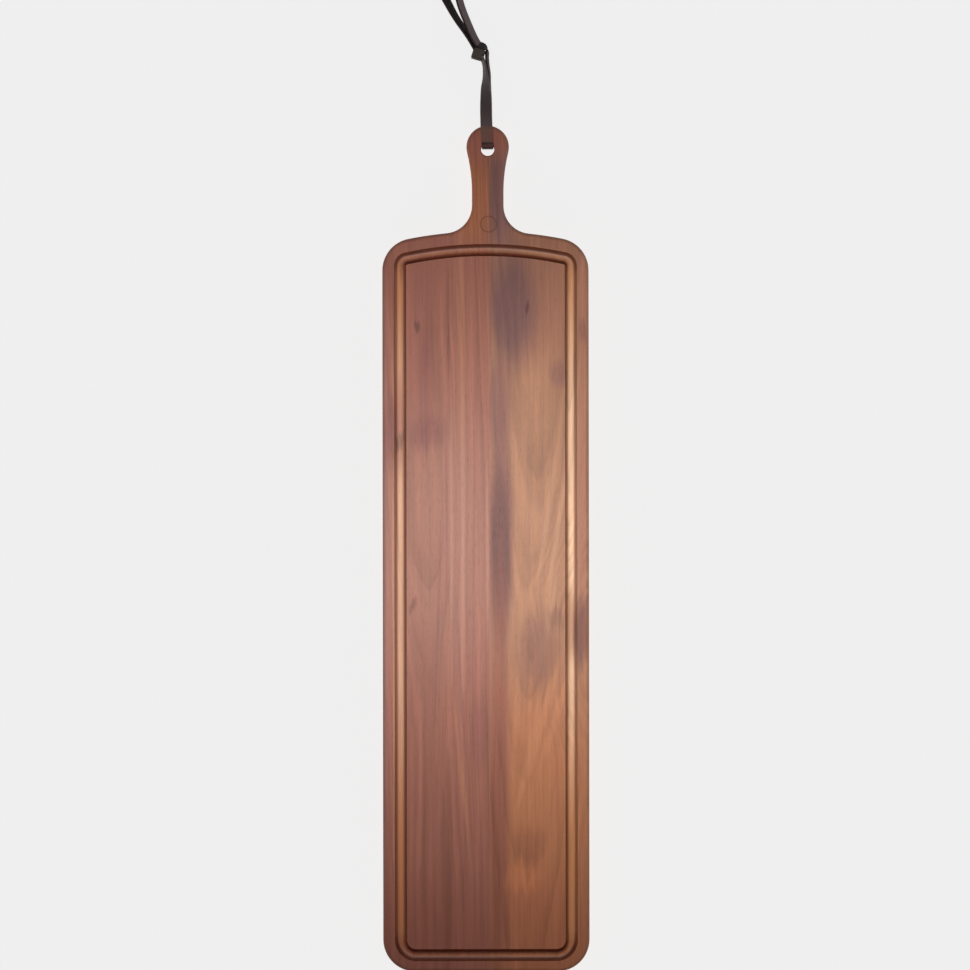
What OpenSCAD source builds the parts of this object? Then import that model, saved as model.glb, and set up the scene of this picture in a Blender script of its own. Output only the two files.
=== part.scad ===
// Bread board: two walnut planks glued edge to edge and cut to one outline with
// a slim handle, a juice groove routed round the face, and a leather lace tied
// through the hole in the handle. The board lies flat, face up. X runs across
// it, Y runs towards the handle and Z is up from the table.

/* [Board] */
// Overall length, with the handle
board_l = 697; // [600:1:800]
// Width of the body
board_w = 170; // [140:1:200]
// Thickness of the planks
board_t = 18; // [15:0.5:24]
// Radius of the four corners, seen from above
corner_r = 26.5; // [18:0.5:34]
// Radius of the crowned end that carries the handle
crown_r = 330; // [250:5:500]
// Rounding along the upper edge
edge_r = 3; // [1:0.5:4]
// Rounding along the lower edge
foot_r = 2; // [1:0.5:3]
// Distance of the glue joint from the centreline of the body
seam_x = 3.2; // [0:0.2:6]

/* [Handle] */
// Length of the handle beyond the crowned end
handle_l = 87; // [82:1:100]
// Radius of the round head of the handle
head_r = 17.5; // [16:0.5:20]
// Width of the neck at its narrowest
neck_w = 26; // [22:0.5:30]
// Distance from the end of the head to the narrowest place
waist_from_end = 55; // [50:1:60]
// Radius of the hollow curves where the neck meets the body
root_r = 23; // [18:0.5:26]
// Distance of the handle from the centreline of the body
handle_shift = 2; // [0:0.5:4]
// Depth planed off the underside of the handle
handle_relief = 3; // [1:0.5:5]

/* [Hanging hole] */
// Diameter of the hole
hole_d = 11; // [10:0.5:14]
// Distance from the end of the head to the middle of the hole
hole_from_end = 19.5; // [17:0.5:22]
// Rounding round both rims of the hole
hole_rim_r = 1.2; // [0.5:0.1:2]

/* [Juice groove] */
// Width of the groove at the face
groove_w = 10; // [6:0.5:11]
// Depth of the groove
groove_depth = 4; // [2:0.5:4.5]
// Distance from the long edges to the middle of the groove
groove_side = 14.7; // [12:0.1:20]
// Distance from the crowned end to the middle of the groove
groove_top = 15.6; // [12:0.1:20]
// Distance from the square end to the middle of the groove
groove_low = 13.8; // [12:0.1:20]
// Corner radius of the groove at the crowned end
groove_top_r = 6.6; // [6:0.2:14]
// Corner radius of the groove at the square end
groove_low_r = 12.5; // [7:0.5:20]

/* [Lace] */
// Width of the flat leather lace
lace_w = 9.5; // [5:0.5:9.5]
// Thickness of the lace
lace_t = 1.8; // [1:0.1:2]

/* [Hidden] */

// How far a cutter runs past the wood
overrun = 1;

// Facets along each stretch of the outline, and round the rounded edges
corner_steps = 12;
crown_steps = 5;
root_steps = 12;
neck_steps = 6;
head_steps = 20;
foot_steps = 4;
edge_steps = 5;
hole_fn = 64;
groove_fn = 40;
bend_fn = 96;

// Places along the board
far_y = board_l / 2;
low_y = -far_y;
crown_y = far_y - handle_l;
half_w = board_w / 2;
hole_at = [handle_shift, far_y - hole_from_end];

// Centres of the arcs that all sizes of outline share
low_corner_at = [half_w - corner_r, low_y + corner_r];
crown_at = [0, crown_y - crown_r];
top_corner_at = meet(half_w - corner_r, crown_r - corner_r);
crown_from = direction(top_corner_at - crown_at);

// The neck's long hollow curve touches the waist and the head
head_y = far_y - head_r;
waist_y = far_y - waist_from_end;
neck_rise = head_y - waist_y;
neck_r = (pow(neck_w / 2, 2) + pow(neck_rise, 2) - pow(head_r, 2)) / (2 * head_r - neck_w);
neck_turn = atan2(neck_rise, neck_w / 2 + neck_r);

// The cutter of the groove: a ball nose that is groove_w wide at the face
cutter_r = (pow(groove_w / 2, 2) + pow(groove_depth, 2)) / (2 * groove_depth);
cutter_z = board_t - groove_depth + cutter_r;
groove_crown_r = crown_r - groove_top;
groove_x = half_w - groove_side;
groove_low_y = low_y + groove_low;
groove_top_at = meet(groove_x - groove_top_r, groove_crown_r - groove_top_r);
groove_turn = direction(groove_top_at - crown_at);

// The point at x whose distance from the centre of the crown is reach
function meet(x, reach) = [x, crown_at[1] + sqrt(pow(reach, 2) - pow(x, 2))];

function direction(v) = atan2(v[1], v[0]);

// Points along an arc; skip leaves out those that the stretch before it has
function arc(at, r, from, to, steps, skip = 0) =
    [for (i = [skip : steps])
        let (a = from + (to - from) * i / steps)
        at + r * [cos(a), sin(a)]];

// One side of the outline, from the square end to the tip of the head, drawn
// in by inset. Side is 1 for the right and -1 for the left.
function half_outline(side, inset) =
    let (
        axis_x = side * handle_shift,
        root_at = meet(axis_x + neck_w / 2 + root_r, crown_r + root_r),
        root_from = direction(root_at - crown_at),
        neck_at = [axis_x + neck_w / 2 + neck_r, waist_y],
        head_at = [axis_x, head_y]
    )
    [for (p = concat(
        arc(low_corner_at, corner_r - inset, -90, 0, corner_steps),
        arc(top_corner_at, corner_r - inset, 0, crown_from, corner_steps),
        arc(crown_at, crown_r - inset, crown_from, root_from, crown_steps, 1),
        arc(root_at, root_r + inset, 180 + root_from, 180, root_steps, 1),
        arc(neck_at, neck_r + inset, 180, 180 - neck_turn, neck_steps),
        arc(head_at, head_r - inset, -neck_turn, 90, head_steps, 1)
    )) [side * p[0], p[1]]];

// The whole outline: up the right side, over the tip and down the left side
function outline(inset) =
    let (left = half_outline(-1, inset), last = len(left) - 1)
    concat(half_outline(1, inset), [for (i = [last - 1 : -1 : 0]) left[i]]);

// The underside rises in an easy ramp across the root of the handle
ramp_from = crown_y;
ramp_to = meet(neck_w / 2 + root_r, crown_r + root_r)[1];
function ease(t) = t * t * (3 - 2 * t);
function lift(y) = handle_relief * ease(min(1, max(0, (y - ramp_from) / (ramp_to - ramp_from))));

// The edge, from the underside to the face: how far in, how high, and whether
// the height follows the ramp
edge_section = concat(
    [for (i = [0 : foot_steps])
        let (a = 90 * i / foot_steps)
        [foot_r * (1 - sin(a)), foot_r * (1 - cos(a)), 1]],
    [for (i = [0 : edge_steps])
        let (a = 90 * i / edge_steps)
        [edge_r * (1 - cos(a)), board_t - edge_r * (1 - sin(a)), 0]]
);

// The board before it is routed and drilled: rings of the outline, one for
// each step of the edge, skinned and closed with rungs from side to side
module blank() {
    rings = [for (s = edge_section) [for (p = outline(s[0])) [p[0], p[1], s[1] + s[2] * lift(p[1])]]];
    count = len(rings[0]);
    top = len(rings) - 1;
    tip = (count - 1) / 2;
    skin = [for (k = [0 : top - 1], i = [0 : count - 1])
        let (a = k * count + i, b = k * count + (i + 1) % count)
        each [[a, a + count, b + count], [a, b + count, b]]];
    rungs = [for (i = [0 : tip - 1])
        let (right = i, left = count - 1 - i)
        each (i == tip - 1 ? [[right, tip, left]]
            : [[right, right + 1, left - 1], [right, left - 1, left]])];
    face = [for (r = rungs) [for (i = [2 : -1 : 0]) r[i] + top * count]];
    polyhedron([for (r = rings) each r], concat(skin, rungs, face), 10);
}

// Everything on one side of the glue joint
module side_of_joint(side) {
    deep = board_t + 2 * overrun;
    long = board_l + 2 * overrun;
    translate([seam_x + (side > 0 ? 0 : -board_w), low_y - overrun, -overrun])
        cube([board_w, long, deep]);
}

// The corner of wood that a rounded rim takes off, beyond a hole of radius r
module rim_cut(r) {
    rotate_extrude($fn = hole_fn)
        difference() {
            translate([r - overrun, -hole_rim_r])
                square([hole_rim_r + overrun, hole_rim_r + overrun]);
            translate([r + hole_rim_r, -hole_rim_r])
                circle(hole_rim_r, $fn = hole_fn);
            translate([r + hole_rim_r - overrun / 2, 0])
                square([overrun, overrun]);
        }
}

module hanging_hole() {
    translate([hole_at[0], hole_at[1], 0]) {
        translate([0, 0, -overrun])
            cylinder(d = hole_d, h = board_t + 2 * overrun, $fn = hole_fn);
        translate([0, 0, board_t])
            rim_cut(hole_d / 2);
        translate([0, 0, handle_relief])
            mirror([0, 0, 1])
                rim_cut(hole_d / 2);
    }
}

// The ball nose, swept straight along Y from one place to another
module groove_run(x, from_y, to_y) {
    translate([x, to_y, 0])
        rotate([90, 0, 0])
            linear_extrude(to_y - from_y)
                translate([0, cutter_z])
                    circle(cutter_r, $fn = groove_fn);
}

// The ball nose, swept round an arc about a place
module groove_bend(at, r, from, turn) {
    translate([at[0], at[1], 0])
        rotate([0, 0, from])
            rotate_extrude(angle = turn, $fn = bend_fn)
                translate([r, cutter_z])
                    circle(cutter_r, $fn = groove_fn);
}

// The groove on the left of the joint: along the square end, up the long edge
// and over the crowned end, with the two middle runs going past the centreline
module half_groove(past) {
    bend_at = [groove_low_r - groove_x, groove_low_y + groove_low_r];
    crown_start = 90 - asin(past / groove_crown_r);
    rotate([0, 0, 90])
        groove_run(groove_low_y, -past, -bend_at[0]);
    mirror([1, 0, 0]) {
        groove_bend([-bend_at[0], bend_at[1]], groove_low_r, -90, 90);
        groove_run(groove_x, bend_at[1], groove_top_at[1]);
        groove_bend(groove_top_at, groove_top_r, 0, groove_turn);
    }
    groove_bend(crown_at, groove_crown_r, crown_start, 180 - groove_turn - crown_start);
}

// Side is -1 for the left plank and 1 for the right
module plank(side) {
    past = overrun - side * seam_x;
    difference() {
        intersection() {
            blank();
            side_of_joint(side);
        }
        hanging_hole();
        if (side < 0)
            half_groove(past);
        else
            mirror([1, 0, 0])
                half_groove(past);
    }
}

// The lace's routes, from the middle of the hole at table height. Each point is
// x, y, z and the angle that the lace is turned about its own length.
loop_route = [
    [-5.2, 77.5, 5.1, 78], [-3.9, 74.5, 5.1, 79], [-2.7, 71, 5.1, 79], [-2, 66, 5.7, 75],
    [-1.7, 60, 7.2, 66], [-1.8, 53, 9.6, 48], [-1.5, 45, 12.7, 28], [-1.4, 37, 15.9, 11],
    [-1.4, 30, 18.1, 3], [-1.3, 25, 19, 0], [-1.2, 20, 19.2, 0], [-1, 15, 19.2, 0],
    [-0.6, 9, 19.2, 0], [-0.2, 4.1, 19.2, 0], [0, 2.9, 18.9, 0], [0, 2, 18, 0], [0, 1.7, 16.8, 0],
    [0, 1.7, 10, 0], [0, 1.7, 3.6, 0], [0, 2, 2.4, 0], [0, 2.9, 1.5, 0], [0, 4.1, 1.2, 0],
    [-0.3, 12, 1.2, 0], [-0.7, 20, 1.2, 0], [-1, 30, 1.4, -3], [-1, 40, 2.4, -16],
    [-0.8, 48, 3.9, -38], [-0.2, 56, 4.7, -58], [0.3, 63, 4.9, -68], [0, 70, 5, -78],
    [-0.4, 76, 5, -80], [-0.5, 81.5, 5, -82]
];
fold_route = [
    [-0.5, 81.5, 5, -82], [-0.7, 82.9, 5, -90], [-1.5, 84.2, 5.2, -101], [-3.2, 85.1, 5.5, -110],
    [-5.3, 86, 5.8, -117], [-7.2, 87.2, 6, -121]
];
left_tail_route = [
    [-7.6, 82, 4.8, 52], [-11, 87.5, 4.8, 56], [-15.1, 93.9, 4.8, 59], [-19.4, 100, 4.8, 60],
    [-24, 106.5, 4.8, 59], [-28, 113, 4.7, 56], [-31.8, 120, 4.6, 52], [-36, 128, 4.5, 48],
    [-38.6, 132.8, 4.5, 46]
];
right_tail_route = [
    [-7.2, 87.2, 6, -121], [-8.8, 89.3, 5.9, -124], [-11, 93, 5.6, -126], [-13.6, 98.6, 5.2, -126],
    [-16.8, 106.2, 4.8, -125], [-19.8, 113.6, 4.7, -124], [-22, 120, 4.7, -124], [-23.8, 127, 4.7, -124],
    [-25.4, 134, 4.7, -124], [-27.2, 141.8, 4.7, -124]
];

// The wrap of the knot round both strands, with its ends on the slant
wrap_at = [-7.6, 79.4];
wrap_z = 5.1;
wrap_w = 10.2;
wrap_t = 9.8;
wrap_l = 10;
wrap_r = 3;
wrap_slant = -18;

// Easing along the cut edges of the lace
lace_ease = 0.4;

function unit(v) = v / norm(v);
function spot(p) = [hole_at[0] + p[0], hole_at[1] + p[1], p[2]];

// The lace's section: a flat strip with eased edges
strip_section =
    let (w = lace_w / 2, t = lace_t / 2, e = lace_ease)
    [[w, t - e], [w - e, t], [e - w, t], [-w, t - e], [-w, e - t], [e - w, -t], [w - e, -t], [w, e - t]];

// A flat strip along a route, turned about its length as the route says
module strip(route) {
    last = len(route) - 1;
    sides = len(strip_section);
    rings = [for (i = [0 : last])
        let (
            along = unit(spot(route[min(last, i + 1)]) - spot(route[max(0, i - 1)])),
            across = unit([1, 0, 0] - along[0] * along),
            out = cross(along, across),
            turn = route[i][3],
            u = across * cos(turn) + out * sin(turn),
            v = out * cos(turn) - across * sin(turn)
        )
        [for (s = strip_section) spot(route[i]) + s[0] * u + s[1] * v]];
    skin = [for (k = [0 : last - 1], i = [0 : sides - 1])
        let (a = k * sides + i, b = k * sides + (i + 1) % sides)
        each [[a, a + sides, b + sides], [a, b + sides, b]]];
    caps = [[for (i = [0 : sides - 1]) i], [for (i = [sides - 1 : -1 : 0]) last * sides + i]];
    polyhedron([for (r = rings) each r], concat(skin, caps), 10);
}

module wrap() {
    long = 2 * wrap_l;
    translate([hole_at[0] + wrap_at[0], hole_at[1] + wrap_at[1], wrap_z])
        intersection() {
            rotate([90, 0, 0])
                linear_extrude(long, center = true) {
                    square([wrap_w - 2 * wrap_r, wrap_t], center = true);
                    square([wrap_w, wrap_t - 2 * wrap_r], center = true);
                    for (i = [-1, 1], k = [-1, 1])
                        translate([i * (wrap_w / 2 - wrap_r), k * (wrap_t / 2 - wrap_r)])
                            circle(wrap_r, $fn = hole_fn);
                }
            rotate([0, 0, wrap_slant])
                cube([long, wrap_l, long], center = true);
        }
}

module left_plank() {
    color([0.47, 0.31, 0.26])
        plank(-1);
}

module right_plank() {
    color([0.56, 0.38, 0.26])
        plank(1);
}

module lace_loop() {
    color([0.16, 0.12, 0.11])
        strip(loop_route);
}

module lace_knot() {
    color([0.2, 0.16, 0.14]) {
        wrap();
        strip(fold_route);
    }
}

module left_tail() {
    color([0.12, 0.09, 0.09])
        strip(left_tail_route);
}

module right_tail() {
    color([0.24, 0.19, 0.18])
        strip(right_tail_route);
}

left_plank();
right_plank();
lace_loop();
lace_knot();
left_tail();
right_tail();
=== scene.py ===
import math

import bmesh
import bpy
from mathutils import Matrix, Vector


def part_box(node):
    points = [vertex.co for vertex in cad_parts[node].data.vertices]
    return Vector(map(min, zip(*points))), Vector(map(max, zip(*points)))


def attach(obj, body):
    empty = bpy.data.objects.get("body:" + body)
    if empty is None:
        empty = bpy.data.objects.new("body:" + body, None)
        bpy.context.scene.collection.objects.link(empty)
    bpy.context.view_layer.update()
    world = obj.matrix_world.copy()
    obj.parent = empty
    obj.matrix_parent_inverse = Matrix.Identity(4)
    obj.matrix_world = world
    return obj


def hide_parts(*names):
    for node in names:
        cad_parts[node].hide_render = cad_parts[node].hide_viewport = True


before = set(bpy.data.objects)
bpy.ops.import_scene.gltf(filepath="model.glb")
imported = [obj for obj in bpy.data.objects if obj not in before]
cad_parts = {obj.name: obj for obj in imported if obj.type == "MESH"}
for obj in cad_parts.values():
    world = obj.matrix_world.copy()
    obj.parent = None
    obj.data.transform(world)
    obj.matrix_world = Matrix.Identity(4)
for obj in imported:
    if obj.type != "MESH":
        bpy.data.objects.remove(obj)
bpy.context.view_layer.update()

# The view. The board is seen from straight above through a long lens, with its
# handle up and its square end just past the lower edge of the picture.
MM = 0.001
view_side = 798.8 * MM
view_middle = (-0.61 * MM, 52.4 * MM)
view_roll = -0.0015
view_distance = 4.0
face_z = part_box("left_plank")[1].z

eye = bpy.data.objects.new("eye", bpy.data.cameras.new("eye"))
eye.location = (*view_middle, face_z + view_distance)
eye.rotation_euler.z = view_roll
eye.data.lens = eye.data.sensor_width * view_distance / view_side
eye.data.clip_end = 100
bpy.context.scene.collection.objects.link(eye)
bpy.context.scene.camera = eye
bpy.context.scene.view_settings.view_transform = "Standard"

# The lace: one strip of flat leather, cut from the hide with its grain side
# smooth and dark and its flesh side greyer, run through the hanging hole from
# above and back under the head of the handle to the knot.
lace_width = 9.5 * MM
lace_thick = 1.8 * MM
lace_round = 0.55 * MM
hole_middle = Vector((2 * MM, 329 * MM, 0))

# From the middle of the hole at table height: x, y, z in millimetres, and how
# far the strip is turned about its own length, in degrees
loop_route = [
    (-5.2, 77.5, 5.1, 78), (-3.9, 74.5, 5.1, 79), (-2.7, 71, 5.1, 79), (-2, 66, 5.7, 75),
    (-1.7, 60, 7.2, 66), (-1.8, 53, 9.6, 48), (-1.5, 45, 12.7, 28), (-1.4, 37, 15.9, 11),
    (-1.4, 30, 18.1, 3), (-1.3, 25, 19, 0), (-1.2, 20, 19.2, 0), (-1, 15, 19.2, 0),
    (-0.6, 9, 19.2, 0), (-0.2, 4.1, 19.2, 0), (0, 2.9, 18.9, 0), (0, 2, 18, 0), (0, 1.7, 16.8, 0),
    (0, 1.7, 10, 0), (0, 1.7, 3.6, 0), (0, 2, 2.4, 0), (0, 2.9, 1.5, 0), (0, 4.1, 1.2, 0),
    (-0.3, 12, 1.2, 0), (-0.7, 20, 1.2, 0), (-1, 30, 1.4, -3), (-1, 40, 2.4, -16),
    (-0.8, 48, 3.9, -38), (-0.2, 56, 4.7, -58), (0.3, 63, 4.9, -68), (0, 70, 5, -78),
    (-0.4, 76, 5, -80), (-0.5, 81.5, 5, -82),
]
fold_route = [
    (-0.5, 81.5, 5, -82), (-0.7, 82.9, 5, -90), (-1.5, 84.2, 5.2, -101), (-3.2, 85.1, 5.5, -110),
    (-5.3, 86, 5.8, -117), (-7.2, 87.2, 6, -121),
]
left_tail_route = [
    (-7.6, 82, 4.8, 52), (-11, 87.5, 4.8, 56), (-15.1, 93.9, 4.8, 59), (-19.4, 100, 4.8, 60),
    (-24, 106.5, 4.8, 59), (-28, 113, 4.7, 56), (-31.8, 120, 4.6, 52), (-36, 128, 4.5, 48),
    (-38.6, 132.8, 4.5, 46),
]
right_tail_route = [
    (-7.2, 87.2, 6, -121), (-8.8, 89.3, 5.9, -124), (-11, 93, 5.6, -126), (-13.6, 98.6, 5.2, -126),
    (-16.8, 106.2, 4.8, -125), (-19.8, 113.6, 4.7, -124), (-22, 120, 4.7, -124), (-23.8, 127, 4.7, -124),
    (-25.4, 134, 4.7, -124), (-27.2, 141.8, 4.7, -124),
]


steps_between = 6


def eased(route):
    """The route as a smooth curve through its points: places in metres, with the turn of the strip."""
    points = [Vector((*p[:3], p[3])) for p in route]
    spans = [(b.xyz - a.xyz).length for a, b in zip(points, points[1:])]
    rates = [(b - a) / span for a, b, span in zip(points, points[1:], spans)]
    slopes = [rates[0]]
    for before, after, span_in, span_out in zip(rates, rates[1:], spans, spans[1:]):
        slopes.append((before * span_out + after * span_in) / (span_in + span_out))
    slopes.append(rates[-1])
    made = []
    for a, b, slope_a, slope_b, span in zip(points, points[1:], slopes, slopes[1:], spans):
        for step in range(steps_between):
            t = step / steps_between
            made.append(
                a * (2 * t ** 3 - 3 * t ** 2 + 1) + slope_a * span * (t ** 3 - 2 * t ** 2 + t)
                + b * (3 * t ** 2 - 2 * t ** 3) + slope_b * span * (t ** 3 - t ** 2)
            )
    made.append(points[-1])
    return [(hole_middle + p.xyz * MM, math.radians(p.w)) for p in made]


def strip_frames(places):
    """A matrix for each place: the strip's width along its X, its thickness along its Y."""
    frames = []
    last = len(places) - 1
    for i, (at, turn) in enumerate(places):
        along = (places[min(last, i + 1)][0] - places[max(0, i - 1)][0]).normalized()
        across = (Vector((1, 0, 0)) - along.x * along).normalized()
        out = along.cross(across)
        u = across * math.cos(turn) + out * math.sin(turn)
        v = out * math.cos(turn) - across * math.sin(turn)
        frames.append(Matrix.Translation(at) @ Matrix((u, v, along)).transposed().to_4x4())
    return frames


def strip_section(width, thick):
    """Points round the cut lace, with its four long edges eased, and how far round each of them lies."""
    middles = [(1, 1, 0), (-1, 1, 90), (-1, -1, 180), (1, -1, 270)]
    points = []
    for sx, sy, start in middles:
        for turn in (0, 45, 90):
            a = math.radians(start + turn)
            x = sx * (width / 2 - lace_round) + lace_round * math.cos(a)
            y = sy * (thick / 2 - lace_round) + lace_round * math.sin(a)
            points.append(Vector((x, y, 0)))
    return points


def strip(name, frames, width=lace_width, thick=lace_thick):
    """Sweeps the lace's section along the frames. The UV map holds millimetres round it and along it."""
    section = strip_section(width, thick)
    round_at = [0.0]
    for a, b in zip(section, section[1:] + section[:1]):
        round_at.append(round_at[-1] + (b - a).length)
    girth = round_at[-1]
    shape = bmesh.new()
    way_round = shape.verts.layers.float.new("way_round")
    way_along = shape.verts.layers.float.new("way_along")
    for point, way in zip(section, round_at):
        corner = shape.verts.new(frames[0] @ point)
        corner[way_round] = way
    end = shape.faces.new(shape.verts)
    far = 0.0
    inner = []
    for here, there in zip(frames, frames[1:]):
        far += (there.translation - here.translation).length
        inner.append(end)
        grown = bmesh.ops.extrude_face_region(shape, geom=[end])["geom"]
        corners = [g for g in grown if isinstance(g, bmesh.types.BMVert)]
        end = next(g for g in grown if isinstance(g, bmesh.types.BMFace))
        bmesh.ops.transform(shape, matrix=there @ here.inverted(), verts=corners)
        for corner in corners:
            corner[way_along] = far
    bmesh.ops.delete(shape, geom=inner[1:], context="FACES_ONLY")
    bmesh.ops.recalc_face_normals(shape, faces=shape.faces)
    chart = shape.loops.layers.uv.new("lace")
    for face in shape.faces:
        face.smooth = len(face.verts) == 4
        high = max(v[way_round] for v in face.verts)
        for loop in face.loops:
            way = loop.vert[way_round]
            way += girth if len(face.verts) == 4 and high - way > girth / 2 else 0
            loop[chart].uv = (way / MM, loop.vert[way_along] / MM)
    mesh = bpy.data.meshes.new(name)
    shape.to_mesh(mesh)
    shape.free()
    piece = bpy.data.objects.new(name, mesh)
    bpy.context.scene.collection.objects.link(piece)
    piece.modifiers.new("flat sides stay flat", "WEIGHTED_NORMAL")
    return piece


def node(tree, kind, sources=None, **settings):
    """Adds a shader node. Sources are its inputs by name, each a socket or a plain value."""
    made = tree.nodes.new("ShaderNode" + kind)
    for key, value in settings.items():
        setattr(made, key, value)
    for key, source in (sources or {}).items():
        if isinstance(source, bpy.types.NodeSocket):
            tree.links.new(source, made.inputs[key])
        else:
            made.inputs[key].default_value = source
    return made


def calc(tree, operation, *values):
    return node(tree, "Math", dict(enumerate(values)), operation=operation).outputs[0]


def move(tree, operation, *values):
    """A sum on vectors. A plain number after the first vector is a scale."""
    made = node(tree, "VectorMath", operation=operation)
    places = {"SCALE": ("Vector", "Scale")}.get(operation, (0, 1, 2))
    for key, value in zip(places, values):
        if isinstance(value, bpy.types.NodeSocket):
            tree.links.new(value, made.inputs[key])
        else:
            made.inputs[key].default_value = value
    return made.outputs["Value" if operation == "LENGTH" else "Vector"]


def ease(tree, value, low, high, to_low=0.0, to_high=1.0):
    """Runs smoothly from to_low to to_high while the value goes from low to high."""
    sources = {"Value": value, "From Min": low, "From Max": high, "To Min": to_low, "To Max": to_high}
    return node(tree, "MapRange", sources, interpolation_type="SMOOTHSTEP").outputs["Result"]


def tint(tree, share, under, over, blend_type="MIX"):
    """The colour under, with the colour over laid on it by share."""
    made = node(tree, "Mix", {0: share}, data_type="RGBA", blend_type=blend_type)
    for key, value in ((6, under), (7, over)):
        if isinstance(value, bpy.types.NodeSocket):
            tree.links.new(value, made.inputs[key])
        else:
            made.inputs[key].default_value = (*value, 1)
    return made.outputs[2]


def grain(tree, place, stretch, detail=3.0, roughness=0.5, colour=False):
    """Noise at a place, with a size of its own along each axis: stretch is in waves for each unit."""
    at = move(tree, "MULTIPLY", place, stretch)
    made = node(tree, "TexNoise", {"Vector": at, "Scale": 1.0, "Detail": detail, "Roughness": roughness})
    return made.outputs["Color" if colour else "Fac"]


def blank_material(name):
    """A new material with its shader."""
    made = bpy.data.materials.new(name)
    made.use_nodes = True
    return made, made.node_tree, made.node_tree.nodes["Principled BSDF"]


def lace_leather(name, grain_colour, flesh_colour, edge_colour, rough, tints_and_shade=()):
    """Bridle leather: a smooth grain side, a napped flesh side and burnished cut edges. Each stretch
    laid over it, a lighter tint or a painted shade, is the places along Y where it starts and is full,
    then fades and ends, in millimetres from the hanging hole, with its colour."""
    made, tree, shader = blank_material(name)
    chart = node(tree, "UVMap", uv_map="lace").outputs["UV"]
    parts = node(tree, "SeparateXYZ", {"Vector": chart})
    way = parts.outputs["X"]
    flat = (lace_width - 2 * lace_round) / MM
    bend = math.pi / 2 * lace_round / MM
    side = (lace_thick - 2 * lace_round) / MM
    half = flat + 2 * bend + side
    on_grain = calc(tree, "MULTIPLY", ease(tree, way, bend * 0.3, bend), ease(tree, way, bend + flat, 1.7 * bend + flat, 1, 0))
    on_flesh = calc(tree, "MULTIPLY", ease(tree, way, half + bend * 0.3, half + bend),
                    ease(tree, way, half + bend + flat, half + 1.7 * bend + flat, 1, 0))
    pebble = grain(tree, chart, (1.6, 1.1, 1), 4, 0.6)
    nap = grain(tree, chart, (3.2, 0.9, 1), 5, 0.7)
    skin = tint(tree, calc(tree, "MULTIPLY", pebble, 0.7), grain_colour, [c * 1.7 + 0.004 for c in grain_colour])
    suede = tint(tree, nap, [c * 0.62 for c in flesh_colour], [c * 1.3 for c in flesh_colour])
    colour = tint(tree, on_flesh, tint(tree, on_grain, edge_colour, skin), suede)
    from_hole = node(tree, "SeparateXYZ", {"Vector": node(tree, "TexCoord").outputs["Object"]}).outputs["Y"]
    from_hole = calc(tree, "DIVIDE", calc(tree, "SUBTRACT", from_hole, hole_middle.y), MM)
    # Stretches of tint and of painted shade, each laid on by its distance from the hanging hole
    for start, full, fades, ends, stretch_colour in tints_and_shade:
        share = calc(tree, "MULTIPLY", ease(tree, from_hole, start, full), ease(tree, from_hole, fades, ends, 1, 0))
        mottled = tint(tree, nap, [c * 0.7 for c in stretch_colour], [c * 1.3 for c in stretch_colour])
        colour = tint(tree, share, colour, mottled)
    tree.links.new(colour, shader.inputs["Base Color"])
    napped = calc(tree, "MULTIPLY", on_flesh, 0.22)
    tree.links.new(calc(tree, "ADD", napped, ease(tree, pebble, 0.2, 0.8, rough, rough + 0.15)), shader.inputs["Roughness"])
    height = tint(tree, on_flesh, pebble, nap)
    bump = node(tree, "Bump", {"Height": height, "Strength": 0.55, "Distance": 0.00025})
    tree.links.new(bump.outputs["Normal"], shader.inputs["Normal"])
    shader.inputs["Specular IOR Level"].default_value = 0.25
    return made


dark_grain = (0.034, 0.02, 0.021)
grey_flesh = (0.12, 0.085, 0.087)
cut_edge = (0.045, 0.026, 0.025)
# The first stretch lays a lighter brown on the lace on top of the head of the handle; the second is painted shade,
# darkening the lace where it bends down inside the hanging hole
tint_and_shade_stretches = [
    (5.2, 6.5, 16.5, 20.5, (0.165, 0.079, 0.061)), (-8, -6, 4.8, 6, (0.045, 0.013, 0.01)),
]
loop_leather = lace_leather(
    "loop_leather", (0.075, 0.052, 0.053), (0.085, 0.06, 0.06), (0.15, 0.12, 0.12), 0.5, tint_and_shade_stretches,
)
left_leather = lace_leather("left_tail_leather", dark_grain, dark_grain, cut_edge, 0.42)
right_leather = lace_leather("right_tail_leather", grey_flesh, grey_flesh, cut_edge, 0.6)

strand_frames = strip_frames(eased(loop_route + fold_route[1:] + right_tail_route[1:]))
fold_start = steps_between * (len(loop_route) - 1)
fold_end = fold_start + steps_between * (len(fold_route) - 1)
loop_frames = strand_frames[:fold_start + 1]
loop = strip("lace_strand", loop_frames)
loop.data.materials.append(loop_leather)
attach(loop, "lace")
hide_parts("lace_loop")

left_frames = strip_frames(eased(left_tail_route))
left_tail = strip("lace_left_end", left_frames)
left_tail.data.materials.append(left_leather)
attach(left_tail, "lace")
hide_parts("left_tail")

right_frames = strand_frames[fold_end:]
right_tail = strip("lace_right_end", right_frames)
right_tail.data.materials.append(right_leather)
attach(right_tail, "lace")
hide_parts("right_tail")

# The knot: an overhand knot drawn tight. The lace goes once round both strands
# in a flat wrap with slanted ends, and the rear strand folds over its top to
# leave as the right end.
wrap_middle = hole_middle + Vector((-7.6, 79.4, 5.1)) * MM
wrap_half_w = 5.1 * MM
wrap_half_t = 4.9 * MM
wrap_turns = 1.3
wrap_pitch = 1.2 * MM
wrap_slant = math.radians(-18)
wrap_steps = 72
wrap_square = 0.62


def rounded(angle):
    """A point on a ring that is flatter than a circle along its sides."""
    c, s = math.cos(angle), math.sin(angle)
    return math.copysign(abs(c) ** wrap_square, c), math.copysign(abs(s) ** wrap_square, s)


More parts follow.
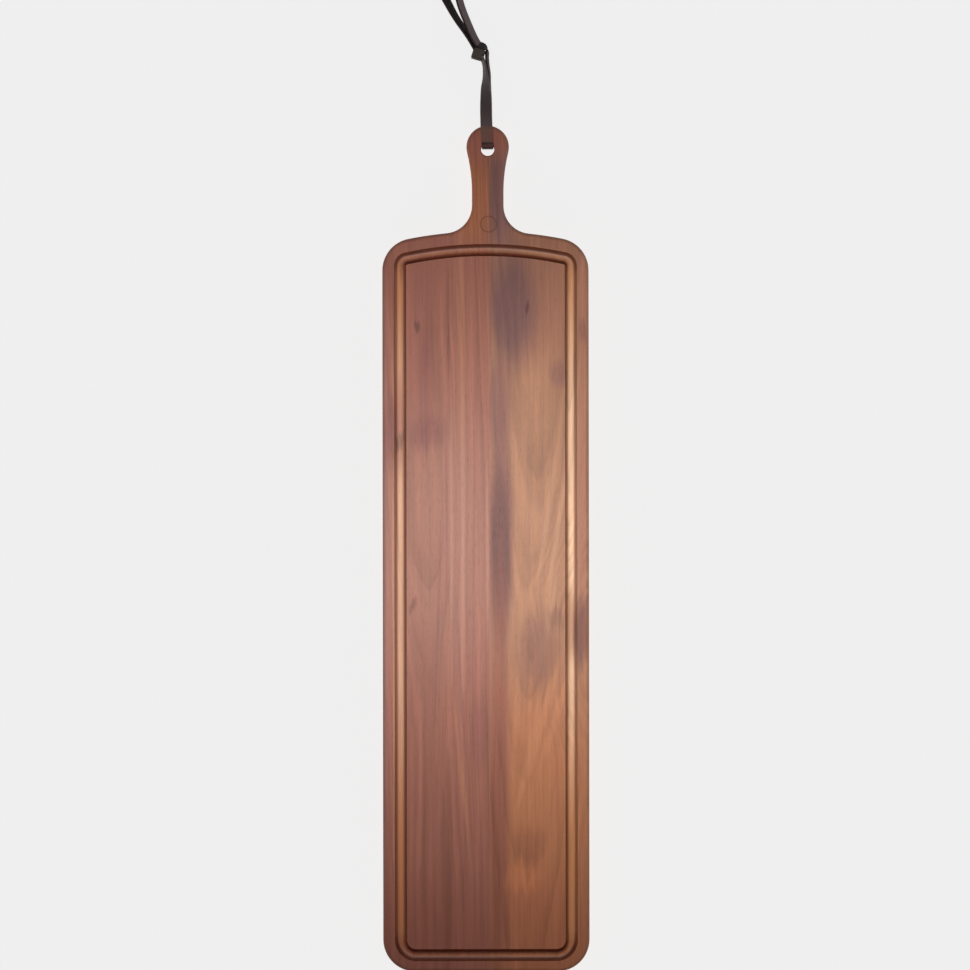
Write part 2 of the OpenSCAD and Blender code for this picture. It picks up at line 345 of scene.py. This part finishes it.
def wrap_frames():
    lean = Matrix.Translation(wrap_middle) @ Matrix.Rotation(wrap_slant, 4, "Z")
    frames = []
    start = math.radians(-150)
    for i in range(wrap_steps + 1):
        share = i / wrap_steps
        angle = start + share * wrap_turns * 2 * math.pi
        lift = lace_thick * (0.42 if share < 0.25 else 0.5)
        x, z = rounded(angle)
        x_on, z_on = rounded(angle + 0.02)
        along = Vector(((x_on - x) * wrap_half_w, 0, (z_on - z) * wrap_half_t)).normalized()
        across = Vector((0, 1, 0))
        out = along.cross(across)
        at = Vector((x * (wrap_half_w - lift), (share - 0.5) * wrap_pitch, z * (wrap_half_t - lift)))
        frames.append(lean @ Matrix.Translation(at) @ Matrix((across, out, along)).transposed().to_4x4())
    return frames


knot_leather = lace_leather("knot_leather", (0.1, 0.08, 0.07), (0.1, 0.08, 0.07), (0.05, 0.034, 0.029), 0.55)
wrap = strip("lace_wrap", wrap_frames(), width=8.8 * MM)
wrap.data.materials.append(knot_leather)
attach(wrap, "lace")
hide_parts("lace_knot")

# The fold is painted far darker than the rest of the lace: painted shade where it turns over at the top of the knot
fold_painted_shade_leather = lace_leather("fold_painted_shade_leather", (0.016, 0.008, 0.007), (0.016, 0.008, 0.007), (0.02, 0.011, 0.01), 0.6)
fold = strip("lace_fold", strand_frames[fold_start:fold_end + 1])
fold.data.materials.append(fold_painted_shade_leather)
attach(fold, "lace")
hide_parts("lace_knot")

# The left plank: a stave of reddish-brown walnut, planed, glued to its
# neighbour, cut to the outline, routed and oiled. Its rings lie nearly level
# near the long edge and stand steeper towards the joint.
sharp_edge = math.radians(40)
groove_bed = 14 * MM
rim_width = 6.4 * MM
board_half = 85 * MM
square_end = -348.5 * MM
corner_r = 26.5 * MM
crown_r = 330 * MM
crown_middle_y = -68.5 * MM
corner_middle_y = (-322 * MM, 229.3 * MM)
film_thick = 0.03 * MM
groove_middle = 14.7 * MM


def from_outline(at):
    """How far a place on the face lies inside the outline of the board's body."""
    aside = abs(at.x) - (board_half - corner_r)
    low, high = corner_middle_y
    beyond = max(at.y - high, low - at.y)
    if aside > 0 and beyond > 0:
        return corner_r - math.hypot(aside, beyond)
    crown = crown_r - math.hypot(at.x, at.y - crown_middle_y)
    return min(board_half - abs(at.x), at.y - square_end, crown)


def planed(name, cad_node):
    """A copy of the CAD plank with its triangles joined up and its curves shaded smooth. The attribute
    marks the juice groove, and in its second channel the half of it towards the outline. The solid keeps a film of wood, thinner than a hair,
    across the groove at its two upper corners, and the copy is cleared of it."""
    shape = bmesh.new()
    shape.from_mesh(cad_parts[cad_node].data)
    bmesh.ops.remove_doubles(shape, verts=shape.verts, dist=0.002 * MM)
    joint_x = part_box("left_plank")[1].x
    bed_low = groove_bed - 0.5 * MM
    films = []
    for face in shape.faces:
        middle = face.calc_center_median()
        upright = abs(face.normal.z) < 0.1 and abs(middle.x - joint_x) > 0.01 * MM
        if upright and middle.z > bed_low and from_outline(middle) > rim_width:
            films.append(face)
    corners = list({corner for face in films for corner in face.verts})
    bmesh.ops.delete(shape, geom=films, context="FACES_ONLY")
    bmesh.ops.remove_doubles(shape, verts=[c for c in corners if c.is_valid], dist=film_thick)
    bmesh.ops.delete(shape, geom=[e for e in shape.edges if not e.link_faces], context="EDGES")
    bmesh.ops.delete(shape, geom=[v for v in shape.verts if not v.link_faces], context="VERTS")
    for face in shape.faces:
        face.smooth = True
    for edge in shape.edges:
        if len(edge.link_faces) == 2:
            edge.smooth = edge.calc_face_angle() < sharp_edge
    in_groove = shape.loops.layers.float_color.new("groove")
    for face in shape.faces:
        middle = face.calc_center_median()
        on_face = all(v.co.z > face_z - 0.01 * MM for v in face.verts)
        in_wood = middle.z > bed_low and abs(middle.x - joint_x) > 0.01 * MM
        cut = in_wood and not on_face and from_outline(middle) > rim_width
        outer = 1 if from_outline(middle) < groove_middle else 0
        for corner in face.loops:
            corner[in_groove] = (1, outer, 0, 1) if cut else (0, 0, 0, 1)
    mesh = bpy.data.meshes.new(name)
    shape.to_mesh(mesh)
    shape.free()
    piece = bpy.data.objects.new(name, mesh)
    bpy.context.scene.collection.objects.link(piece)
    piece.modifiers.new("flat faces stay flat", "WEIGHTED_NORMAL").keep_sharp = True
    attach(piece, "board")
    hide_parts(cad_node)
    return piece


def oval(tree, place, at, half, turn=0, depth=24):
    """How far a place lies from the middle of an oval of wood, where 1 is its edge."""
    inside = node(tree, "Mapping", {
        "Vector": place, "Location": (*at, face_z / MM), "Rotation": (0, 0, math.radians(turn)),
        "Scale": (*half, max(half[0], depth)),
    }, vector_type="TEXTURE")
    return move(tree, "LENGTH", inside.outputs["Vector"])


def walnut(name, tones, pith, lean, spacing, swerves, stains_and_sheen, groove_tones, groove_dull):
    """Oiled walnut, solid all through. Lengths inside are in millimetres. A swerve is a place that the
    grain goes round: its middle, its half sizes and how far it pushes the grain sideways and up. A stain,
    and each painted sheen line among them, is its middle, its half sizes, its lean, its colour and how
    strongly it covers. The bed of the groove has a tone halfway along and one near its ends, apart from a
    dull place: its middle and half sizes."""
    made, tree, shader = blank_material(name)
    place = move(tree, "SCALE", node(tree, "TexCoord").outputs["Object"], 1 / MM)
    drift = move(tree, "SUBTRACT", grain(tree, place, (0.018, 0.0026, 0.018), 2, 0.5, True), (0.5, 0.5, 0.5))
    wobble = move(tree, "SUBTRACT", grain(tree, place, (0.1, 0.011, 0.1), 3, 0.5, True), (0.5, 0.5, 0.5))
    wander = move(tree, "MULTIPLY_ADD", drift, (12, 0, 4), place)
    wander = move(tree, "MULTIPLY_ADD", wobble, (2.2, 0, 2.2), wander)
    for at, half, (aside, up) in swerves:
        share = ease(tree, oval(tree, place, at, half), 0, 1, 1, 0)
        push = node(tree, "CombineXYZ", {"X": calc(tree, "MULTIPLY", share, aside), "Z": calc(tree, "MULTIPLY", share, up)})
        wander = move(tree, "ADD", wander, push.outputs["Vector"])

    # Growth rings about the pith, which lies below the board
    turned = node(tree, "Mapping", {"Vector": wander, "Location": pith, "Rotation": lean}, vector_type="TEXTURE")
    ring_way = move(tree, "LENGTH", move(tree, "MULTIPLY", turned.outputs["Vector"], (1, 0, 1)))
    ring = calc(tree, "DIVIDE", ring_way, spacing)
    band = node(tree, "TexNoise", {"W": ring, "Scale": 1.0, "Detail": 3.0, "Roughness": 0.55}, noise_dimensions="1D")
    late = calc(tree, "FRACT", calc(tree, "MULTIPLY_ADD", band.outputs["Fac"], 0.7, ring))
    late = calc(tree, "MULTIPLY", ease(tree, late, 0.4, 0.9), ease(tree, late, 0.9, 1.0, 1, 0))
    late = calc(tree, "MULTIPLY", late, ease(tree, grain(tree, place, (0.05, 0.006, 0.05)), 0.38, 0.68))

    # Fibres and open pores along the grain
    fibre = grain(tree, wander, (0.22, 0.005, 0.22), 5, 0.62)
    thread = grain(tree, wander, (2.6, 0.035, 2.6), 3, 0.55)
    pore = ease(tree, grain(tree, wander, (4.2, 0.14, 4.2), 1, 0.5), 0.62, 0.72)

    # Stains, and the lines of painted sheen among them, feather out along the grain
    feather = calc(tree, "SUBTRACT", grain(tree, wander, (0.2, 0.004, 0.2), 3, 0.6), 0.5)
    push = node(tree, "CombineXYZ", {"X": calc(tree, "MULTIPLY", feather, 2.5), "Y": calc(tree, "MULTIPLY", feather, 30)})
    smeared = move(tree, "ADD", move(tree, "MULTIPLY_ADD", drift, (5, 16, 5), place), push.outputs["Vector"])
    colour = tint(tree, ease(tree, band.outputs["Fac"], 0.32, 0.68), *tones)
    for at, half, turn, patch_colour, strength in stains_and_sheen:
        cover = ease(tree, oval(tree, smeared, at, half, turn), 0.4, 1.3, strength, 0)
        colour = tint(tree, cover, colour, patch_colour)

    # The routed groove: a golden bed, palest at its floor and there in part a painted highlight, between dark lines
    #     of painted shade on the steep walls, darkest at the two ends. The inner wall there is turned from the light,
    #     and its painted shade is a lighter red
    marks = node(tree, "SeparateColor", {"Color": node(tree, "Attribute", attribute_name="groove").outputs["Color"]})
    groove = marks.outputs["Red"]
    outer = marks.outputs["Green"]
    parts = node(tree, "SeparateXYZ", {"Vector": place})
    along = parts.outputs["Y"]
    at_ends = calc(tree, "ADD", ease(tree, along, 222, 246), ease(tree, along, -332, -312, 1, 0))
    raised = calc(tree, "MULTIPLY_ADD", at_ends, 0.45, parts.outputs["Z"])
    bed = groove_bed / MM
    groove_tone = tint(tree, ease(tree, calc(tree, "ABSOLUTE", along), 90, 260), *groove_tones)
    # The bed is painted pale gold, palest at its floor, in part a painted highlight
    golden = calc(tree, "MULTIPLY", ease(tree, oval(tree, place, *groove_dull), 0.4, 1.3, 0.3, 1), ease(tree, raised, bed, bed + 0.8, 0.85, 0.35))
    golden = calc(tree, "MULTIPLY", golden, calc(tree, "MULTIPLY_ADD", at_ends, -0.5, 1))
    colour = tint(tree, calc(tree, "MULTIPLY", groove, golden), colour, groove_tone)
    # Painted shade: dark lines on the steep upper walls, darkest at the two ends
    wall_shade_share = calc(tree, "MULTIPLY", ease(tree, raised, bed + 0.5, bed + 1.15), calc(tree, "MULTIPLY_ADD", at_ends, 0.4, 0.54))
    wall_shade_tone = tint(tree, calc(tree, "MULTIPLY", at_ends, calc(tree, "SUBTRACT", 1, outer)), wall_shade_dark, inner_wall_shade)
    colour = tint(tree, calc(tree, "MULTIPLY", groove, wall_shade_share), colour, wall_shade_tone)

    # A plain ring burnt into the face at the root of the handle
    char_way = move(tree, "LENGTH", move(tree, "SUBTRACT", place, (*ring_at, face_z / MM)))
    inner_side = ease(tree, char_way, ring_r - 1, ring_r - 0.1)
    outer_side = ease(tree, char_way, ring_r + 0.1, ring_r + 1, 1, 0)
    colour = tint(tree, ease(tree, char_way, ring_r - 1, ring_r, 0.2, 0), colour, (0.27, 0.11, 0.045))
    colour = tint(tree, calc(tree, "MULTIPLY", calc(tree, "MULTIPLY", inner_side, outer_side), 0.5), colour, char)

    shade = calc(tree, "MULTIPLY", ease(tree, fibre, 0.25, 0.75, 0.88, 1.12), ease(tree, thread, 0.3, 0.7, 0.95, 1.05))
    shade = calc(tree, "MULTIPLY", shade, calc(tree, "SUBTRACT", 1, calc(tree, "MULTIPLY", late, 0.16)))
    shade = calc(tree, "MULTIPLY", shade, calc(tree, "SUBTRACT", 1, calc(tree, "MULTIPLY", pore, 0.15)))
    grey = node(tree, "CombineXYZ", {"X": shade, "Y": shade, "Z": shade}).outputs["Vector"]
    colour = tint(tree, 1.0, colour, grey, "MULTIPLY")
    tree.links.new(colour, shader.inputs["Base Color"])
    rough = calc(tree, "ADD", ease(tree, fibre, 0.2, 0.8, 0.42, 0.5), calc(tree, "MULTIPLY", pore, 0.15))
    tree.links.new(rough, shader.inputs["Roughness"])
    relief = calc(tree, "SUBTRACT", calc(tree, "MULTIPLY", fibre, 0.3), pore)
    bump = node(tree, "Bump", {"Height": relief, "Strength": 0.3, "Distance": 0.0001})
    tree.links.new(bump.outputs["Normal"], shader.inputs["Normal"])
    shader.inputs["Specular IOR Level"].default_value = 0.18
    return made


ring_at = (2.6, 267.2)
ring_r = 6.5
char = (0.11, 0.035, 0.018)
# Painted shade for the groove's walls, and a lighter red for it on the inner walls at the ends, which the lamp already
# leaves in shade
wall_shade_dark = (0.07, 0.015, 0.006)
inner_wall_shade = (0.3, 0.075, 0.036)
russet = ((0.245, 0.094, 0.064), (0.305, 0.115, 0.08))
plum = (0.175, 0.062, 0.054)
soot = (0.075, 0.03, 0.026)
honey = (0.38, 0.165, 0.09)
left_stains_and_sheen = [
    ((-50, 235), (60, 50), 0, (0.295, 0.112, 0.079), 0.5),
    ((-45, 10), (70, 120), 0, (0.275, 0.124, 0.087), 0.7),
    # Painted highlight: a pale line along the outer arris of the groove
    ((-76.7, -60), (1.1, 260), 0, (0.42, 0.2, 0.12), 0.6),
    # Painted sheen: a greyer, pinker band along the rounded outer edge
    ((-83, 0), (1.8, 300), 0, (0.24, 0.13, 0.117), 0.6),
    ((-30.5, 190), (1.4, 50), 0, soot, 0.4),
    ((-20, 165), (3.4, 120), 0, honey, 0.3),
    ((-52, 190), (10, 60), 0, plum, 0.3),
    ((-50, 130), (8, 60), -2, plum, 0.45),
    ((-48, 96), (17, 15), -10, plum, 0.6),
    ((-78, 96), (7, 34), 0, plum, 0.65),
    ((-71, 88), (4, 8), 0, soot, 0.8),
    ((-56.5, 183), (2.4, 6), 12, soot, 0.55),
    ((-60.5, -47), (3.4, 6), 0, soot, 0.4),
    ((-29, 10), (1.6, 110), 0, (0.37, 0.18, 0.13), 0.4),
    ((-19.5, 0), (2.2, 150), 0, (0.37, 0.18, 0.13), 0.45),
    ((-33, 20), (1.2, 90), 0, plum, 0.35),
    ((-10, 30), (1.2, 110), 0, plum, 0.3),
    ((1.2, 0), (1.2, 80), 0, (0.37, 0.18, 0.13), 0.45),
    ((-5, -150), (9, 36), 0, plum, 0.4),
    ((-20, -190), (2, 80), 6, honey, 0.4),
    ((-20, -120), (1.2, 70), 3, plum, 0.4),
    ((-40, -60), (1.4, 90), -2, plum, 0.35),
    ((-45, -320), (60, 60), 0, (0.255, 0.086, 0.06), 0.7),
    ((-10, 290), (16, 45), 0, (0.39, 0.137, 0.062), 0.75),
    ((-8, 345), (16, 26), 0, (0.37, 0.125, 0.09), 0.7),
]
left_plank = planed("walnut_left_stave", "left_plank")
left_walnut = walnut(
    "left_walnut", russet, (-51.5, 0, -34), (math.radians(0.7), 0, math.radians(2.3)), 3.2,
    [((-46, -130), (80, 170), (0, 3.5))], left_stains_and_sheen,
    ((0.58, 0.33, 0.21), (0.49, 0.19, 0.08)), ((-72, 100), (7, 45)),
)
left_plank.data.materials.clear()
left_plank.data.materials.append(left_walnut)

# The right plank: a stave of golden walnut from beside the heart of the tree,
# with a smoky streak from the handle down along the joint and a knot at its
# edge, which the grain goes round.
tan = ((0.295, 0.138, 0.078), (0.35, 0.165, 0.091))
pale_tan = (0.43, 0.225, 0.13)
smoke = (0.165, 0.077, 0.07)
slate = (0.118, 0.045, 0.038)
dusk = (0.21, 0.09, 0.073)
amber = (0.5, 0.175, 0.08)
copper = (0.41, 0.152, 0.07)
knot_red = (0.09, 0.026, 0.031)
right_stains = [
    ((45, 215), (60, 70), 0, (0.3, 0.124, 0.083), 0.6),
    ((45, -220), (60, 130), 0, copper, 0.8),
    ((45, -320), (60, 60), 0, (0.36, 0.12, 0.062), 0.75),
    ((13, 292), (14, 50), 0, (0.2, 0.095, 0.092), 0.85),
    ((10, 345), (16, 26), 0, (0.37, 0.125, 0.09), 0.7),
    ((22, 200), (22, 52), 0, smoke, 0.95),
    ((10, 122), (12, 40), 0, dusk, 0.8),
    ((34.5, 201), (1.8, 5), 0, soot, 0.6),
    ((11.8, 15), (11, 105), 0, (0.165, 0.066, 0.057), 0.85),
    ((11.8, -4), (9.5, 75), 0, slate, 0.85),
    ((60, 146), (8, 12), 0, dusk, 0.6),
    ((73, 146), (1.6, 22), 0, soot, 0.7),
    ((80, 215), (6, 40), 0, (0.39, 0.173, 0.11), 0.7),
    ((80, 178), (4, 10), 0, dusk, 0.8),
    ((80, 60), (5, 150), 0, (0.29, 0.12, 0.08), 0.7),
    ((58, 5), (2.5, 60), -8, pale_tan, 0.6),
    ((49, 10), (2.5, 60), -8, pale_tan, 0.4),
    ((52, -60), (3, 50), -9, pale_tan, 0.5),
    ((79.5, -68), (7, 32), 0, knot_red, 0.6),
    ((73.5, -72), (1.8, 34), 0, knot_red, 0.5),
    ((42, -89), (21, 36), 0, (0.21, 0.092, 0.064), 0.65),
    ((58, -58), (8, 10), 0, (0.165, 0.072, 0.05), 0.5),
    ((11, -205), (10, 190), 0, (0.245, 0.086, 0.056), 0.95),
    ((45, -150), (4, 60), -16, (0.48, 0.2, 0.095), 0.6),
    ((58, -140), (3, 50), -16, (0.48, 0.2, 0.095), 0.5),
    ((36, -170), (3, 50), -12, (0.48, 0.2, 0.095), 0.4),
    ((35, -246), (16, 18), 0, (0.29, 0.102, 0.056), 0.6),
    ((31, -272), (15, 14), 0, amber, 0.6),
]
right_plank = planed("walnut_right_stave", "right_plank")
right_walnut = walnut(
    "right_walnut", tan, (40, 0, -48), (math.radians(2.6), 0, math.radians(-1)), 3.8,
    [((79, -76), (56, 120), (16, 16)), ((44, -86), (26, 60), (-7, -7))], right_stains,
    ((0.71, 0.45, 0.29), (0.54, 0.235, 0.1)), ((69, -62), (8, 34)),
)
right_plank.data.materials.clear()
right_plank.data.materials.append(right_walnut)

# The room: a pale table that glows a little of itself, so that it stays even,
# and a soft light close above the middle of the board.
paper = 0.862
table_half = 20
sheet = bmesh.new()
bmesh.ops.create_grid(sheet, x_segments=1, y_segments=1, size=table_half)
table_mesh = bpy.data.meshes.new("table")
sheet.to_mesh(table_mesh)
sheet.free()
table = bpy.data.objects.new("table", table_mesh)
bpy.context.scene.collection.objects.link(table)
table_paint, table_tree, table_shader = blank_material("table_paint")
table_shader.inputs["Base Color"].default_value = (0.42, 0.42, 0.42, 1)
table_shader.inputs["Roughness"].default_value = 0.9
table_shader.inputs["Specular IOR Level"].default_value = 0
table_shader.inputs["Emission Color"].default_value = (1, 1, 1, 1)
table_shader.inputs["Emission Strength"].default_value = 0.818
table.data.materials.append(table_paint)

lamp = bpy.data.objects.new("softbox", bpy.data.lights.new("softbox", "AREA"))
lamp.data.shape = "RECTANGLE"
lamp.data.size = 0.26
lamp.data.size_y = 0.26
lamp.data.energy = 1.92
lamp.location = (0, 0.006, face_z + 0.33)
lamp.visible_camera = False
bpy.context.scene.collection.objects.link(lamp)
lit_pieces = bpy.data.collections.new("lit pieces")
for piece in (left_plank, right_plank, loop, left_tail, right_tail, wrap, fold):
    lit_pieces.objects.link(piece)
lamp.light_linking.receiver_collection = lit_pieces

sky = bpy.data.worlds.new("sky")
sky.use_nodes = True
bpy.context.scene.world = sky
sky_height = node(sky.node_tree, "SeparateXYZ", {"Vector": node(sky.node_tree, "TexCoord").outputs["Generated"]})
sky_light = ease(sky.node_tree, sky_height.outputs["Z"], 0.1, 0.35, paper, 0.07)
sky.node_tree.links.new(sky_light, sky.node_tree.nodes["Background"].inputs["Color"])
